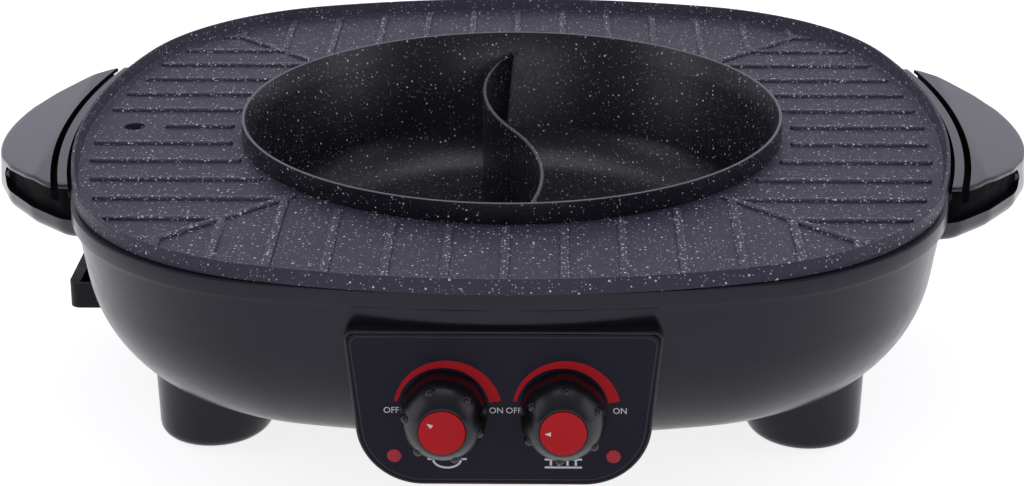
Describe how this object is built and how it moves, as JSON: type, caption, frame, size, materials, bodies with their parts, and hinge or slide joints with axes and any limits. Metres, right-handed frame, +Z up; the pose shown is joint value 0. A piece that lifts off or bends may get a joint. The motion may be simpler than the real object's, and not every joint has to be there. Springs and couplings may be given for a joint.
{
  "type": "electric table grill with drop-in divided hot pot",
  "caption": "Squarish non-stick grill plate on a bowl-shaped electric base, with a drop-in pot split by a curved wall, side handles, control knobs and a drip cup.",
  "frame": {"origin": "on the floor under the pot's axis, in the plane of the foot pads", "axes": "+Z up, -Y towards the control panel, +X to the right seen from the front, through the right handle"},
  "size_m": [0.46, 0.4063, 0.1191],
  "materials": {
    "coated_plate": "cast aluminium with a speckled dark non-stick coating",
    "coated_pot": "cast aluminium with a near-black speckled non-stick coating",
    "bowl_plastic": "satin charcoal-violet moulded plastic",
    "grip_plastic": "glossy black-violet phenolic",
    "panel_plastic": "satin near-black plastic",
    "fascia": "dark navy printed film",
    "knob_plastic": "semi-gloss black plastic",
    "red_cap": "red plastic",
    "white_mark": "white print",
    "lens_red": "red translucent plastic",
    "lamp_glass": "neon lamp glass",
    "rubber": "black rubber",
    "tray_steel": "aluminised sheet steel",
    "element_steel": "dark oxidised stainless tube",
    "screw_steel": "zinc-plated steel",
    "brass_parts": "plain brass",
    "inner_plastic": "dark heat-resistant plastic",
    "ceramic": "pale phenolic",
    "wire": "silicone-sleeved lead"
  },
  "bodies": {
    "base": {"base_shell": "bowl_plastic", "feet": "bowl_plastic", "bottom_cover": "bowl_plastic", "bottom_screws": "screw_steel", "foot_pads": "rubber", "panel_housing": "panel_plastic", "panel_fascia": "fascia", "left_handle": "grip_plastic", "right_handle": "grip_plastic", "handle_screws": "screw_steel", "left_thermostat": "ceramic", "right_thermostat": "ceramic", "thermostat_nuts": "screw_steel", "indicator_lenses": "lens_red", "neon_lamps": "lamp_glass", "heat_tray": "tray_steel", "tray_screws": "screw_steel", "grill_element": "element_steel", "pot_element": "element_steel", "element_clips": "tray_steel", "pot_element_supports": "tray_steel", "terminal_block": "ceramic", "thermal_fuse": "brass_parts", "wiring": "wire", "power_inlet": "inner_plastic", "inlet_pins": "brass_parts", "inlet_screws": "screw_steel", "cup_channel": "inner_plastic", "drip_spout": "tray_steel"},
    "grill_plate_body": {"grill_plate": "coated_plate"},
    "pot_body": {"pot": "coated_pot", "pot_divider": "coated_pot"},
    "left_knob_body": {"left_knob": "knob_plastic", "left_knob_cap": "red_cap", "left_pointer": "white_mark", "left_shaft": "brass_parts"},
    "right_knob_body": {"right_knob": "knob_plastic", "right_knob_cap": "red_cap", "right_pointer": "white_mark", "right_shaft": "brass_parts"},
    "drip_cup_body": {"drip_cup": "inner_plastic"}
  },
  "joints": [
    {"name": "plate_lift", "type": "slide", "parent": "base", "child": "grill_plate_body", "axis": [0, 0, 1], "range_m": [0, 0.06]},
    {"name": "pot_lift", "type": "slide", "parent": "grill_plate_body", "child": "pot_body", "axis": [0, 0, 1], "range_m": [0, 0.08]},
    {"name": "left_knob_turn", "type": "hinge", "parent": "base", "child": "left_knob_body", "pos_m": [-0.0228, -0.192, 0.061], "axis": [0, 1, 0], "range_deg": [-36.5, 143.5]},
    {"name": "right_knob_turn", "type": "hinge", "parent": "base", "child": "right_knob_body", "pos_m": [0.0228, -0.192, 0.061], "axis": [0, 1, 0], "range_deg": [0, 180]},
    {"name": "cup_slide", "type": "slide", "parent": "base", "child": "drip_cup_body", "axis": [-1, 0, 0], "range_m": [0, 0.055]}
  ]
}
